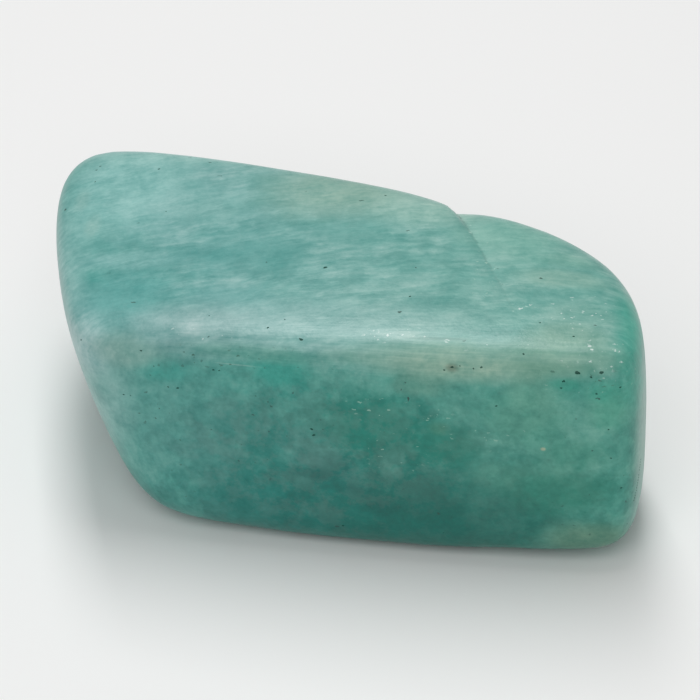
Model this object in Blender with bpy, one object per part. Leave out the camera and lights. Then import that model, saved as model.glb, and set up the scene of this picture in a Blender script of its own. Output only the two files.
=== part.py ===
"""Tumbled amazonite stone: one sheared cleavage block with all its edges worn round.

The stone is the soft intersection of a few worn faces. A gridded block is drawn out
along its rays until it lies on those faces, then it gets its cleavage notch, its faint
waviness and the flat spot that it rests on.

Metres, +Z up. The origin is at the middle of the stone's box, on the surface that it
rests on. The long side lies along X, and the tall worn side looks towards -Y.
"""

import math
from typing import NamedTuple

import bmesh
import bpy
from mathutils import Vector, noise

MM = 0.001

# Overall size of the finished stone, in millimetres
LENGTH = 32.5
DEPTH = 20.0
HEIGHT = 14.5

# Rough block before its edges were worn, in millimetres from its middle. The grid of
# faces is laid on it, so that the grid's corners fall on the stone's corners.
BLOCK_FRONT = -8.2
BLOCK_BACK_AT_LEFT = 11.6
BLOCK_BACK_AT_RIGHT = 5.0
BLOCK_LEFT_AT_TOP = -16.4
BLOCK_LEFT_AT_BOTTOM = -11.4
BLOCK_RIGHT = 16.4
BLOCK_BOTTOM = -7.5
BLOCK_TOP = 7.1

# Spacing of the grid in millimetres, and how much it tightens towards the edges
GRID_STEP = 0.92
GRID_TIGHTENING = 0.35

# How sharply the fullness of the stone rises across a worn face: with a higher rate,
# the same roundness gives a tighter edge
ROUNDING_RATE = 1.4

# Search for the skin along a ray: its number of halvings, and how far out it starts
SKIN_HALVINGS = 40
SKIN_SEARCH_REACH = 65.0

# The flat spot: how far the lowest point of the base is worn off, in millimetres
FLAT_SPOT_CUT = 0.16

# Waviness of the polished skin: height and wavelength in millimetres
WAVE_HEIGHT = 0.05
WAVE_LENGTH = 4.5
WAVE_OFFSET = Vector((11.3, 4.7, 29.1))

# Cleavage notch, in millimetres from the block's middle, seen from above. It starts at
# the back edge and runs forwards and to the right while it fades. Its left wall is
# steep and its right side gentle, and on the back it runs out towards half height.
NOTCH_START = Vector((4.85, 7.6))
NOTCH_END = Vector((9.4, -2.6))
NOTCH_DEPTH = 1.0
NOTCH_LEFT_WIDTH = 0.45
NOTCH_RIGHT_WIDTH = 1.8
NOTCH_FADE_POWER = 3
NOTCH_RUN_OUT_HEIGHT = 5.0

# How far to each side of the notch the grid leans with it, in millimetres
GRID_BEND_WIDTH = 9.0

NODE = "stone"


class WornFace(NamedTuple):
    """One face that cleavage and tumbling have left on the stone."""

    bearing: float    # degrees, direction the face looks in, from +X, seen from above
    lift: float       # degrees above the horizon that it looks
    reach: float      # millimetres from the block's middle out to the face
    roundness: float  # millimetres, how softly it runs into its neighbours
    bulge: float      # millimetres, radius of its slight dome


FACES = {
    "top": WornFace(180, 87, 6.8, 0.95, 300),
    "base": WornFace(0, -90, 7.5, 1.1, 170),
    "front": WornFace(-93, 0, 8.2, 1.1, 250),
    "front foot": WornFace(-99, -34, 11.5, 1.5, 400),
    "back": WornFace(73.3, 6, 7.9, 1.3, 250),
    "back foot": WornFace(85, -38, 11.8, 1.8, 300),
    "left end": WornFace(197, -20, 13.25, 1.3, 65),
    "left heel": WornFace(205, -55, 16.3, 1.5, 300),
    "right end": WornFace(-2, 1, 16.95, 1.2, 90),
    "right foot": WornFace(-15, -45, 20.4, 1.3, 300),
    "back right corner": WornFace(38, 8, 12.93, 2.4, 300),
    "back left corner": WornFace(140, 5, 19.8, 2.0, 300),
}


def clear_scene():
    """Remove whatever objects the file holds."""
    for item in list(bpy.data.objects):
        bpy.data.objects.remove(item, do_unlink=True)


def facing(face):
    """Unit vector of the direction that a worn face looks in."""
    bearing = math.radians(face.bearing)
    lift = math.radians(face.lift)
    level = math.cos(lift)
    return Vector((level * math.cos(bearing), level * math.sin(bearing), math.sin(lift)))


def fullness(point, faces):
    """Below 1 inside the stone, 1 on its skin and above 1 outside it."""
    total = 0.0
    for face, normal in faces:
        along = point.dot(normal)
        dome = (point.length_squared - along * along) / (2.0 * face.bulge)
        total += math.exp(ROUNDING_RATE * (along + dome - face.reach) / face.roundness)
    return total


def on_skin(ray, faces):
    """The point where a ray from the block's middle leaves the stone."""
    inner = 0.0
    outer = SKIN_SEARCH_REACH
    for _ in range(SKIN_HALVINGS):
        middle = (inner + outer) / 2.0
        if fullness(ray * middle, faces) < 1.0:
            inner = middle
        else:
            outer = middle
    return ray * inner


def cut_positions(length):
    """Places of the grid's cuts between -0.5 and 0.5, closer together near the ends."""
    count = max(2, round(length / GRID_STEP))
    places = []
    for index in range(1, count):
        even = index / count - 0.5
        tight = 0.5 * math.sin(even * math.pi)
        places.append(even + (tight - even) * GRID_TIGHTENING)
    return places


def make_grid_block():
    """A box of side 1 with a grid of quads on every side."""
    block = bmesh.new()
    bmesh.ops.create_cube(block, size=1.0)
    for axis, length in enumerate((LENGTH, DEPTH, HEIGHT)):
        normal = Vector((0.0, 0.0, 0.0))
        normal[axis] = 1.0
        for place in cut_positions(length):
            everything = block.verts[:] + block.edges[:] + block.faces[:]
            bmesh.ops.bisect_plane(block, geom=everything, dist=1e-6,
                                   plane_co=normal * place, plane_no=normal)
    return block


def between(start, end, share):
    """The value that lies this share of the way from start to end."""
    return start + (end - start) * share


def rough_block_place(share):
    """A place on the rough block, from its shares of the length, depth and height.

    The block's left end leans, and its plan narrows to the right.
    """
    left = between(BLOCK_LEFT_AT_BOTTOM, BLOCK_LEFT_AT_TOP, share.z)
    back = between(BLOCK_BACK_AT_LEFT, BLOCK_BACK_AT_RIGHT, share.x)
    return Vector((between(left, BLOCK_RIGHT, share.x),
                   between(BLOCK_FRONT, back, share.y),
                   between(BLOCK_BOTTOM, BLOCK_TOP, share.z)))


def smooth_step(value):
    """0 below 0, 1 above 1 and an even slope between them."""
    value = min(1.0, max(0.0, value))
    return value * value * (3.0 - 2.0 * value)


def notch_place(point):
    """Distance to the right of the notch line, and the share of its way that is done."""
    way = NOTCH_END - NOTCH_START
    offset = Vector((point.x, point.y)) - NOTCH_START
    along = offset.dot(way) / way.length_squared
    across = (offset.y * way.x - offset.x * way.y) / way.length
    return across, along


def notch_column():
    """Share of the length at which the grid has its cut nearest to the notch."""
    middle = (NOTCH_START.x + NOTCH_END.x) / 2.0
    shares = [0.5 + cut for cut in cut_positions(LENGTH)]
    return min(shares, key=lambda share: abs(
        between(BLOCK_LEFT_AT_TOP, BLOCK_RIGHT, share) - middle))


def lean_to_notch(share, column, faces):
    """How far the grid leans to the right here, so that its column lies in the notch."""
    column_place = rough_block_place(Vector((column, share.y, share.z)))
    column_point = on_skin(column_place.normalized(), faces)
    slant = (NOTCH_END.x - NOTCH_START.x) / (NOTCH_END.y - NOTCH_START.y)
    notch_x = NOTCH_START.x + slant * (max(column_point.y, NOTCH_END.y) - NOTCH_START.y)
    nearness = 1.0 - smooth_step(abs(share.x - column) * LENGTH / GRID_BEND_WIDTH)
    return (notch_x - column_point.x) * nearness * smooth_step(share.z)


def notch_depth(point):
    """How deep the notch is worn at a point, in millimetres."""
    across, along = notch_place(point)
    width = NOTCH_LEFT_WIDTH if across < 0.0 else NOTCH_RIGHT_WIDTH
    profile = math.exp(-abs(across) / width)
    fade = (1.0 - min(1.0, max(0.0, along))) ** NOTCH_FADE_POWER
    upper = smooth_step(point.z / NOTCH_RUN_OUT_HEIGHT)
    return NOTCH_DEPTH * profile * fade * upper


def shape_stone(block):
    """Draw the block out onto the worn faces, then add the notch and the waviness."""
    faces = [(face, facing(face)) for face in FACES.values()]
    notch_opening = (facing(FACES["top"]) + facing(FACES["back"])).normalized()
    column = notch_column()
    for vert in block.verts:
        share = vert.co + Vector((0.5, 0.5, 0.5))
        point = on_skin(rough_block_place(share).normalized(), faces)
        point.x += lean_to_notch(share, column, faces)
        ray = point.normalized()
        point = on_skin(ray, faces)
        wave = WAVE_HEIGHT * noise.noise(point / WAVE_LENGTH + WAVE_OFFSET)
        vert.co = point + ray * wave - notch_opening * notch_depth(point)


def wear_flat_spot(block):
    """Cut the lowest part of the base off level."""
    level = min(vert.co.z for vert in block.verts) + FLAT_SPOT_CUT
    for vert in block.verts:
        vert.co.z = max(vert.co.z, level)


def fit_to_size(block):
    """Bring the stone to its overall size, in metres, standing on the origin's level."""
    low = Vector([min(vert.co[axis] for vert in block.verts) for axis in range(3)])
    high = Vector([max(vert.co[axis] for vert in block.verts) for axis in range(3)])
    foot = Vector(((low.x + high.x) / 2.0, (low.y + high.y) / 2.0, low.z))
    wanted = Vector((LENGTH, DEPTH, HEIGHT)) * MM
    scale = Vector([wanted[axis] / (high[axis] - low[axis]) for axis in range(3)])
    bmesh.ops.translate(block, vec=-foot, verts=block.verts)
    bmesh.ops.scale(block, vec=scale, verts=block.verts)


def stone_material():
    """Polished green feldspar."""
    material = bpy.data.materials.new("amazonite")
    material.use_nodes = True
    shader = material.node_tree.nodes["Principled BSDF"]
    shader.inputs["Base Color"].default_value = (0.155, 0.365, 0.320, 1.0)
    shader.inputs["Roughness"].default_value = 0.28
    shader.inputs["Metallic"].default_value = 0.0
    return material


def make_stone():
    """The whole stone as one object."""
    block = make_grid_block()
    shape_stone(block)
    wear_flat_spot(block)
    fit_to_size(block)
    bmesh.ops.recalc_face_normals(block, faces=block.faces)
    mesh = bpy.data.meshes.new(NODE)
    block.to_mesh(mesh)
    block.free()
    mesh.shade_smooth()
    mesh.materials.append(stone_material())
    stone = bpy.data.objects.new(NODE, mesh)
    bpy.context.scene.collection.objects.link(stone)
    return stone


def main():
    clear_scene()
    make_stone()


main()
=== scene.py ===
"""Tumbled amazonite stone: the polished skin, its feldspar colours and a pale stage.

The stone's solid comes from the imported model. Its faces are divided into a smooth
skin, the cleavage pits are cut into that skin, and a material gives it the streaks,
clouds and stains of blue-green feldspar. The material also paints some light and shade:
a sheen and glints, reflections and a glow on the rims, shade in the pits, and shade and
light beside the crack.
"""

import math
from typing import NamedTuple

import bmesh
import bpy
from bpy.props import FloatProperty, FloatVectorProperty, IntProperty
from bpy.types import Operator, Panel, PropertyGroup
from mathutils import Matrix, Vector


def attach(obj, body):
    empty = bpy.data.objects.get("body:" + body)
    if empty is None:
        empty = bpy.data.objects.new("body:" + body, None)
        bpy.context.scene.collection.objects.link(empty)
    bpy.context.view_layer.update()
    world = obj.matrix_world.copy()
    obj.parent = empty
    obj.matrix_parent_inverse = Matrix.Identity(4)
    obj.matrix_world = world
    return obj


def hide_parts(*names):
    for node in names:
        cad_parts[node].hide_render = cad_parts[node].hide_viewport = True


bl_info = {
    "name": "Tumbled Amazonite",
    "version": (1, 0, 0),
    "blender": (4, 5, 0),
    "location": "3D View > Sidebar > Stone",
    "description": "Dresses a tumbled amazonite stone and sets it on a pale stage",
    "category": "Object",
}

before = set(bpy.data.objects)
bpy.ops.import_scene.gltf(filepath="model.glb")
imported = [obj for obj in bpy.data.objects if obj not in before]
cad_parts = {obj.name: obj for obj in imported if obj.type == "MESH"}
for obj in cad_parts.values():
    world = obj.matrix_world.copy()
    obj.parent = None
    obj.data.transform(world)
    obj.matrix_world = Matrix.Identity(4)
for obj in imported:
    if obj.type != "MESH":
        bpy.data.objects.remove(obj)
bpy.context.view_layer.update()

MM = 0.001
PER_MM = 1000.0

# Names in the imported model
STONE_NODE = "stone"
ROOT_BODY = "root"

# The photograph's camera: its bearing, its height above the horizon, and in millimetres
# its distance, the point that it looked at, its lens and the width of its sensor
VIEW_AZIMUTH = math.radians(5.0)
VIEW_ELEVATION = math.radians(38.0)
VIEW_DISTANCE = 220.0
VIEW_TARGET = Vector((0.17, -0.30, 6.60))
VIEW_LENS = 210.3
SENSOR_WIDTH = 36.0

# The cleavage crack's line, seen from above, in millimetres. It starts at the back edge
# and fades to the front and the right. On the back, it fades out below CRACK_TOP and
# ends at CRACK_LOWEST.
CRACK_START = (4.31, 6.20, 0.0)
CRACK_END = (8.60, -5.00, 0.0)
CRACK_LOWEST = 7.5
CRACK_TOP = 12.5

# The step at the crack, steep on its left side: its depth, the widths of its two sides
# and of the band that is drawn together at its foot, in millimetres, and the share of the
# crack's way at which it has faded out
STEP_DEPTH = 0.35
STEP_LEFT_WIDTH = 0.10
STEP_RIGHT_WIDTH = 0.60
STEP_PULL_WIDTH = 0.16
STEP_END = 0.9

# The low swelling right of the step at the back rim: its height, its middle's distance
# from the crack, its width and its end, told in the same way
SWELLING_HEIGHT = 0.10
SWELLING_PLACE = 0.80
SWELLING_WIDTH = 0.60
SWELLING_END = 0.5

# Cleavage pits: their length, width and depth for their size, how uneven they are, and
# how far they are turned at random, in radians
PIT_STRETCH = (1.25, 0.85, 0.55)
PIT_UNEVENNESS = 1.2
PIT_TURN = 0.6

# The grain of the pits' walls, the spacing of the random pits, and half the width of the
# smallest and the largest random pit, in millimetres
PIT_WALL_GRAIN = 0.09
PIT_SPACING = 1.6
SMALLEST_PIT = 0.03
LARGEST_RANDOM_PIT = 0.06

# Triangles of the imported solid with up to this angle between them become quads
QUAD_ANGLE = math.radians(40.0)

# Points closer together than this, in millimetres, become one after the pits are cut
SLIVER = 0.0005

# The flat spot stays level: the ripple fades out below this height in millimetres
RIPPLE_LOWEST = 0.3


class Pit(NamedTuple):
    """One cleavage pit: its place on the skin and half its width, in millimetres."""

    place: tuple
    half_width: float


PITS = {
    "stained cluster below the ridge": Pit((6.2, -9.7, 13.2), 0.07),
    "its left neighbour": Pit((5.8, -9.7, 13), 0.05),
    "its right neighbour": Pit((6.6, -9.7, 13.3), 0.04),
    "first pit right of the cluster": Pit((7.3, -9.7, 13.2), 0.05),
    "second pit right of the cluster": Pit((7.7, -9.7, 13.3), 0.06),
    "pit on the ridge": Pit((9.8, -9.3, 14), 0.05),
    "large pit below the right ridge": Pit((12.6, -9.7, 13.3), 0.11),
    "pit near the right corner": Pit((13.8, -9.6, 13.3), 0.1),
    "pit beside the corner pit": Pit((13.3, -9.8, 13.1), 0.06),
    "pit below the large one": Pit((11.9, -9.8, 12.8), 0.07),
    "small pit under it": Pit((11.8, -9.9, 12.4), 0.05),
    "pit on the upper right front": Pit((13.6, -9.8, 12.1), 0.055),
    "pit on the middle right front": Pit((14.3, -9.8, 9.8), 0.05),
    "pit below it": Pit((14.5, -9.8, 7.9), 0.045),
    "pit on the lower right front": Pit((15.1, -9.6, 5.8), 0.06),
    "pit above the right ridge": Pit((12.3, -8.1, 14.4), 0.06),
    "nick on the middle of the top": Pit((-0.9, -3.1, 14.2), 0.09),
    "nick on the ridge": Pit((-1.6, -8.7, 13.7), 0.08),
    "nick left of it on the ridge": Pit((-3.4, -8, 13.9), 0.055),
    "nick on the left ridge": Pit((-9.9, -8.7, 12.4), 0.05),
    "nick on the left front": Pit((-10.9, -8.8, 9.5), 0.05),
    "nick low on the front": Pit((0.6, -9.4, 2), 0.06),
    "nick in the middle of the front": Pit((-1, -9.6, 8.6), 0.075),
    "nick below it": Pit((-0.9, -9.6, 8.2), 0.075),
    "nick under the left teal patch": Pit((-8, -9.1, 10.4), 0.06),
    "nick left of that one": Pit((-8.5, -9.1, 10.4), 0.045),
    "nick under the left ridge": Pit((-6.1, -9.2, 11.8), 0.05),
    "nick beside it": Pit((-5.8, -9.2, 11.8), 0.045),
}


# The scratch on the right end is a row of small pits from its top to its foot, in
# millimetres
SCRATCH_TOP = Vector((16.05, -8.2, 6.6))
SCRATCH_FOOT = Vector((15.80, -8.9, 4.4))
SCRATCH_PITS = 17
SCRATCH_HALF_WIDTH = 0.045


class Stain(NamedTuple):
    """A soft patch of colour. Its middle and its reach are in millimetres."""

    middle: tuple
    reach: tuple
    colour: tuple
    strength: float
    ragged: float


# Patches of colour, laid over one another in this order. Some are painted light: a sheen,
# reflections and a glow, as their comments say.
STAINS = {
    "deep middle of the front": Stain(
        (4.2, -11, 0.6), (10.5, 5, 9), (0, 0.138, 0.115), 1, 0.9),
    "deep lower left of the front": Stain(
        (-3.8, -10, 2.8), (4.8, 4, 5), (0.015, 0.18, 0.155), 0.75, 0.9),
    "deep patch left of the middle": Stain(
        (-4.8, -10, 8.4), (3, 2, 1.8), (0.02, 0.18, 0.155), 0.7, 1.2),
    "deep streak on the right of the front": Stain(
        (5.9, -10, 8.3), (2.4, 2, 1.7), (0.015, 0.205, 0.16), 0.85, 1.1),
    "deep lower right of the front": Stain(
        (11.8, -10, 5.8), (3.2, 2, 2), (0.018, 0.215, 0.162), 0.75, 1.1),
    "deep patch right of the middle": Stain(
        (1.9, -10, 9.3), (3, 2, 2.5), (0, 0.19, 0.146), 0.85, 1),
    "deep patch low in the middle": Stain(
        (0.2, -10, 5.9), (1.9, 1.5, 1.4), (0.01, 0.165, 0.145), 0.7, 1.1),
    "deep patch below the right pits": Stain(
        (12.4, -10, 8.2), (2.4, 2, 1.4), (0.03, 0.25, 0.19), 0.55, 1.1),
    "deep patch low on the left": Stain(
        (-6.5, -9.5, 6.3), (1.9, 1.5, 1.4), (0.05, 0.23, 0.2), 0.5, 1.1),
    "deep patch in the hidden back": Stain(
        (-5, 9.5, 2.5), (9, 5, 6), (0.012, 0.16, 0.13), 0.8, 1),
    "brown lower right corner": Stain(
        (13.6, -9.7, 2.1), (2.7, 2, 1.6), (0.15, 0.288, 0.208), 0.75, 0.8),
    "pale patch on the right of the front": Stain(
        (10.2, -10, 10.4), (2.6, 2, 1.9), (0.1, 0.35, 0.275), 0.6, 1.1),
    "pale patch left of the middle": Stain(
        (-1.4, -10, 7.3), (2.1, 1.5, 1.4), (0.075, 0.285, 0.25), 0.6, 1.1),
    "grey patch above the dark streak": Stain(
        (-1.6, -10, 6.5), (1.4, 1.5, 0.5), (0.075, 0.262, 0.23), 0.6, 1),
    "grey patch below the dark streak": Stain(
        (-0.4, -10, 3.5), (1.8, 1.5, 0.9), (0.034, 0.188, 0.16), 0.65, 1),
    "dark streak low in the middle": Stain(
        (-0.6, -10, 5.5), (1.5, 1.5, 0.4), (0, 0.15, 0.128), 0.8, 0.9),
    "middle of the dark streak": Stain(
        (1.2, -10, 4.7), (1.4, 1.5, 0.6), (0, 0.145, 0.124), 0.8, 0.9),
    "end of the dark streak": Stain(
        (2.6, -10, 3.5), (1.3, 1.5, 0.7), (0, 0.134, 0.116), 0.8, 0.9),
    "pale patch low on the right": Stain(
        (8.6, -10, 6.4), (1.7, 1.5, 1.2), (0.09, 0.32, 0.26), 0.5, 1.1),
    "pale patch below the right wear": Stain(
        (10.3, -9.9, 11.9), (1.6, 1.5, 1.2), (0.145, 0.4, 0.32), 0.5, 1),
    "green patch beside the right end": Stain(
        (14.3, -9.7, 11), (1.4, 1.2, 1.6), (0.06, 0.345, 0.25), 0.5, 0.9),
    "greyish left of the front": Stain(
        (-8.5, -10, 8), (4.5, 2.5, 4.5), (0.11, 0.318, 0.282), 0.4, 0.9),
    "pale left end": Stain(
        (-12.6, -8.6, 9.2), (2.4, 3, 5), (0.235, 0.45, 0.408), 0.7, 0.6),
    "pale left rim": Stain(
        (-15.2, -2.4, 11.6), (2, 6.4, 3.6), (0.235, 0.48, 0.435), 0.9, 0.7),
    # Partly a grey haze and partly a painted reflection of the pale surroundings along the left
    # rim
    "grey haze and painted reflection on the left rim": Stain(
        (-13.1, -7.1, 12.1), (2, 2.8, 2.3), (0.36, 0.56, 0.53), 0.9, 0.7),
    "pale spot on the left rim": Stain(
        (-14, -4.8, 12.7), (0.9, 1.6, 1.2), (0.24, 0.47, 0.43), 0.8, 0.8),
    "pale back rim": Stain(
        (0, 7.2, 13.6), (17, 3.6, 2.5), (0.26, 0.49, 0.445), 0.5, 1),
    "teal patch under the left ridge": Stain(
        (-8.8, -9.2, 11.4), (1.5, 1.5, 0.9), (0.03, 0.32, 0.262), 0.8, 0.7),
    "teal patch under the ridge": Stain(
        (-2.6, -9.6, 12.1), (2, 1.5, 0.9), (0.035, 0.34, 0.275), 0.75, 0.8),
    # A painted glow: the saturated green of light that shines through the thin right rim
    "painted green glow on the right rim": Stain(
        (15.9, -6.2, 12.7), (1.9, 4.8, 3.4), (0.045, 0.405, 0.32), 0.85, 0.6),
    # A painted reflection: the pale light that the narrow facet on the right end reflects
    "painted reflection on the right end's facet": Stain(
        (16.2, -8.2, 8.2), (0.55, 2.6, 5.4), (0.27, 0.48, 0.43), 0.6, 0.5),
    "teal patch on the left of the top": Stain(
        (-11, -5.5, 13.5), (3.2, 2.5, 3), (0.075, 0.335, 0.3), 0.8, 0.8),
    "teal patch on the middle of the top": Stain(
        (-5.5, -1.9, 14), (4.5, 2.2, 2), (0.065, 0.305, 0.275), 0.75, 0.9),
    "teal patch above the left haze": Stain(
        (-5.7, -5.6, 14), (2.7, 1.7, 1.5), (0.1, 0.345, 0.32), 0.6, 1),
    "teal patch on the centre of the top": Stain(
        (0, 0.3, 14), (3, 1.6, 2), (0.1, 0.34, 0.305), 0.6, 0.9),
    "pale back of the top": Stain(
        (-12.3, 4.3, 13), (4.2, 5.2, 4), (0.255, 0.525, 0.475), 0.85, 0.7),
    "pale rim at the back left": Stain(
        (-10.3, 8, 13.3), (6.5, 1.7, 2), (0.3, 0.56, 0.5), 0.7, 0.7),
    "pale left of the top": Stain(
        (-8, 2.8, 13.6), (3.6, 1.8, 2), (0.23, 0.47, 0.43), 0.65, 0.9),
    "pale streak behind the left teal patch": Stain(
        (-11.3, -2.3, 13.4), (3.2, 0.9, 1), (0.215, 0.46, 0.425), 0.55, 1),
    "pale streak on the middle of the top": Stain(
        (-2.6, 1.9, 14), (3.4, 0.8, 1), (0.24, 0.465, 0.425), 0.5, 1.1),
    "pale rim left of the notch": Stain(
        (3.9, 2.9, 14.2), (3.9, 2.3, 1.5), (0.335, 0.545, 0.485), 0.85, 0.8),
    "yellowish back of the top": Stain(
        (-1.1, 4.1, 14), (4.2, 3, 2), (0.26, 0.435, 0.355), 0.75, 0.8),
    "cream streak on the left rim": Stain(
        (-14.6, 3.4, 12.5), (0.5, 1.3, 0.9), (0.34, 0.52, 0.45), 0.35, 1),
    "end of the cream streak": Stain(
        (-13.7, 0.9, 13), (0.5, 1.2, 0.8), (0.34, 0.52, 0.45), 0.3, 1),
    "green side beside the notch": Stain(
        (8.8, 0.6, 14.4), (3, 3.2, 2), (0.235, 0.49, 0.43), 0.65, 0.8),
    "pale spot right of the notch": Stain(
        (6.9, 0.1, 14.4), (1.8, 1, 1), (0.26, 0.5, 0.445), 0.5, 1.1),
    "deep spot at the crack's end": Stain(
        (7.6, -4.4, 14.5), (1.5, 0.7, 0.8), (0.15, 0.375, 0.34), 0.4, 1),
    "deep patch before the right ridge": Stain(
        (10.7, -5, 14.5), (1.8, 0.8, 0.8), (0.11, 0.35, 0.32), 0.6, 1),
    "pale band on the right of the top": Stain(
        (11.4, -3.4, 14.4), (2.6, 0.9, 1), (0.285, 0.48, 0.425), 0.75, 1.1),
    "deep band behind it": Stain(
        (11, -2, 14.4), (2.4, 0.4, 0.8), (0.14, 0.37, 0.325), 0.25, 1.1),
    "pale spot right of the band": Stain(
        (11.8, -1.6, 14.3), (1.6, 0.8, 0.8), (0.215, 0.445, 0.39), 0.55, 1),
    "deeper front right of the top": Stain(
        (12.6, -6.7, 14.4), (2.4, 1.4, 0.8), (0.15, 0.352, 0.308), 0.4, 1),
    # Partly a pale bluish colour and partly a painted highlight: the sheen of the light along the
    # ridge
    "bluish haze and painted sheen along the ridge": Stain(
        (-0.6, -7.4, 14.2), (9, 1.8, 1.5), (0.27, 0.47, 0.448), 0.5, 1),
    "grey haze on the left ridge": Stain(
        (-7.5, -7.9, 13.3), (4.5, 2, 1.5), (0.205, 0.375, 0.355), 0.75, 1.1),
    "deeper band under the sheen": Stain(
        (0.5, -9.4, 13.3), (1.7, 0.8, 0.5), (0.12, 0.32, 0.27), 0.5, 1),
    "pale foot of the beige wear": Stain(
        (4.5, -10, 12), (1.7, 1.2, 0.8), (0.155, 0.37, 0.3), 0.7, 0.9),
    "beige wear below the ridge": Stain(
        (6.2, -9.6, 13.4), (5.6, 1.4, 1.15), (0.27, 0.45, 0.365), 0.85, 0.7),
    "olive wear above the right ridge": Stain(
        (12, -7.9, 14.4), (2.3, 1, 0.8), (0.165, 0.345, 0.285), 0.7, 1.1),
    "beige wear on the right ridge": Stain(
        (11.8, -9, 13.8), (3.4, 1.4, 1.1), (0.185, 0.37, 0.292), 0.7, 0.8),
    "beige wear on the left ridge": Stain(
        (-10.9, -8.7, 12.2), (2.5, 1.2, 1.1), (0.235, 0.41, 0.355), 0.65, 0.8),
    "green spot under the right pits": Stain(
        (12, -9.9, 12.6), (0.9, 1, 0.4), (0.02, 0.33, 0.25), 0.5, 1.2),
    "green spot right of it": Stain(
        (14, -9.8, 12.2), (1, 1, 0.8), (0.03, 0.345, 0.265), 0.6, 1.2),
    "green band below the left ridge": Stain(
        (-3.8, -9.1, 12.95), (4.7, 0.9, 0.5), (0.105, 0.345, 0.285), 0.75, 0.9),
    "broken pale line below the left ridge": Stain(
        (-4.85, -9.25, 12.25), (1.3, 0.5, 0.05), (0.45, 0.65, 0.58), 0.24, 2.2),
    "brown smudge below the ridge": Stain(
        (6.2, -9.7, 13.15), (0.42, 0.5, 0.28), (0.13, 0.2, 0.15), 0.7, 1.3),
    "beige speck on the front": Stain(
        (11, -10, 8.4), (0.16, 0.4, 0.13), (0.4, 0.46, 0.33), 0.8, 0.5),
    "olive spot on the front": Stain(
        (5.6, -9.9, 9.3), (0.6, 1, 0.5), (0.11, 0.27, 0.175), 0.3, 1.5),
    "pale cluster on the left ridge": Stain(
        (-7.4, -7.9, 13.5), (0.8, 0.6, 0.7), (0.44, 0.6, 0.57), 0.45, 1.6),
    "dark line right of the sheen": Stain(
        (5.4, -8.6, 14.1), (2, 0.12, 0.4), (0.16, 0.32, 0.29), 0.5, 0.9),
    # A painted highlight: the pale sheen of the light on the middle of the ridge
    "painted sheen on the middle of the ridge": Stain(
        (3.4, -8.35, 14.1), (1.5, 0.35, 0.5), (0.6, 0.74, 0.7), 0.22, 1.5),
}


class Area(NamedTuple):
    """A rounded region of the stone, in millimetres."""

    middle: tuple
    reach: tuple


class Fleck(NamedTuple):
    """One kind of small spots. All lengths are in millimetres."""

    spacing: float    # of the cells that can hold a spot
    radius: float     # of the largest spots
    share: float      # of the cells that hold one
    shape: tuple      # how many times shorter than round they are along X, Y and Z
    colour: tuple
    strength: float
    areas: tuple


EVERYWHERE = Area((0.0, 0.0, 7.0), (90.0, 90.0, 90.0))
FLECKS = {
    "dark specks": Fleck(1.3, 0.105, 0.6, (0.8, 1.6, 1.1), (0.015, 0.07, 0.055), 0.85,
                         (EVERYWHERE,)),
    "tiny dark specks": Fleck(0.6, 0.085, 0.85, (0.9, 1.3, 1), (0.015, 0.09, 0.075), 0.8, (
        Area((-5.5, -10, 8.5), (9.5, 2.5, 6)),
        Area((14, -9.8, 6.5), (3, 2, 6)))),
    "dark dashes": Fleck(2.4, 0.115, 0.35, (1.8, 1.3, 0.6), (0.015, 0.05, 0.04), 0.9,
                         (EVERYWHERE,)),
    "pale flecks": Fleck(0.45, 0.085, 0.75, (0.9, 1.5, 1.5), (0.36, 0.57, 0.48), 0.7, (
        Area((12.6, -9.2, 12.9), (3.8, 2, 1.3)),
        Area((7.4, -2.4, 14.3), (1.2, 3.6, 0.8)))),
    "pale dashes": Fleck(0.34, 0.078, 0.6, (0.55, 1.6, 1.4), (0.3, 0.54, 0.44), 0.7, (
        Area((2.6, -9.8, 10.3), (2.4, 1.5, 0.9)),
        Area((4.9, -9.9, 9.8), (1.7, 1.5, 1)),
        Area((7.4, -10, 8.8), (2.2, 1.5, 0.9)),
        Area((9.7, -10, 8.8), (1.1, 1.5, 0.9)),
        Area((3.4, -9.8, 7.4), (1.7, 1.5, 1.6)))),
    # Painted highlights: small glints of light along the crack
    "painted glints at the crack": Fleck(0.34, 0.08, 0.45, (0.9, 0.9, 1.2), (0.42, 0.66, 0.58), 0.7, (
        Area((6.6, 0.7, 14.3), (0.4, 1.7, 0.8)),
        Area((8, -3, 14.4), (0.45, 1.6, 0.8)),
        Area((9.5, -5.9, 14.5), (0.7, 1, 0.6)))),
    # Painted highlights: small glints of light in the sheen on the ridge
    "painted sheen glints": Fleck(0.2, 0.056, 0.62, (0.6, 1.4, 1.4), (0.8, 0.9, 0.86), 0.85, (
        Area((2.7, -8.45, 14.08), (1.7, 0.36, 0.6)),)),
    # Painted highlights: small glints of light on the ridge, at the crack's end and on the right
    # of the top
    "glints": Fleck(0.29, 0.076, 0.6, (0.55, 1.5, 1.5), (0.68, 0.8, 0.76), 0.8, (
        Area((3.4, -8.4, 14.05), (2, 0.6, 0.7)),
        Area((7.5, -8.8, 13.95), (3.2, 0.4, 0.7)),
        Area((9.6, -5.7, 14.4), (0.7, 1.6, 0.6)),
        Area((12.4, -6.2, 14.4), (2.2, 1.8, 0.6)),
        Area((13.6, -8.9, 13.9), (2.4, 1, 0.8)),
        Area((-7, -8.3, 13.4), (2.2, 0.7, 0.7)))),
    "stained specks": Fleck(0.36, 0.085, 0.7, (0.6, 1.4, 1.4), (0.035, 0.125, 0.09), 0.8, (
        Area((12.6, -9.8, 12.9), (2.6, 0.8, 0.9)),
        Area((-6.5, -9.2, 12.5), (3.8, 0.8, 0.7)))),
}

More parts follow.
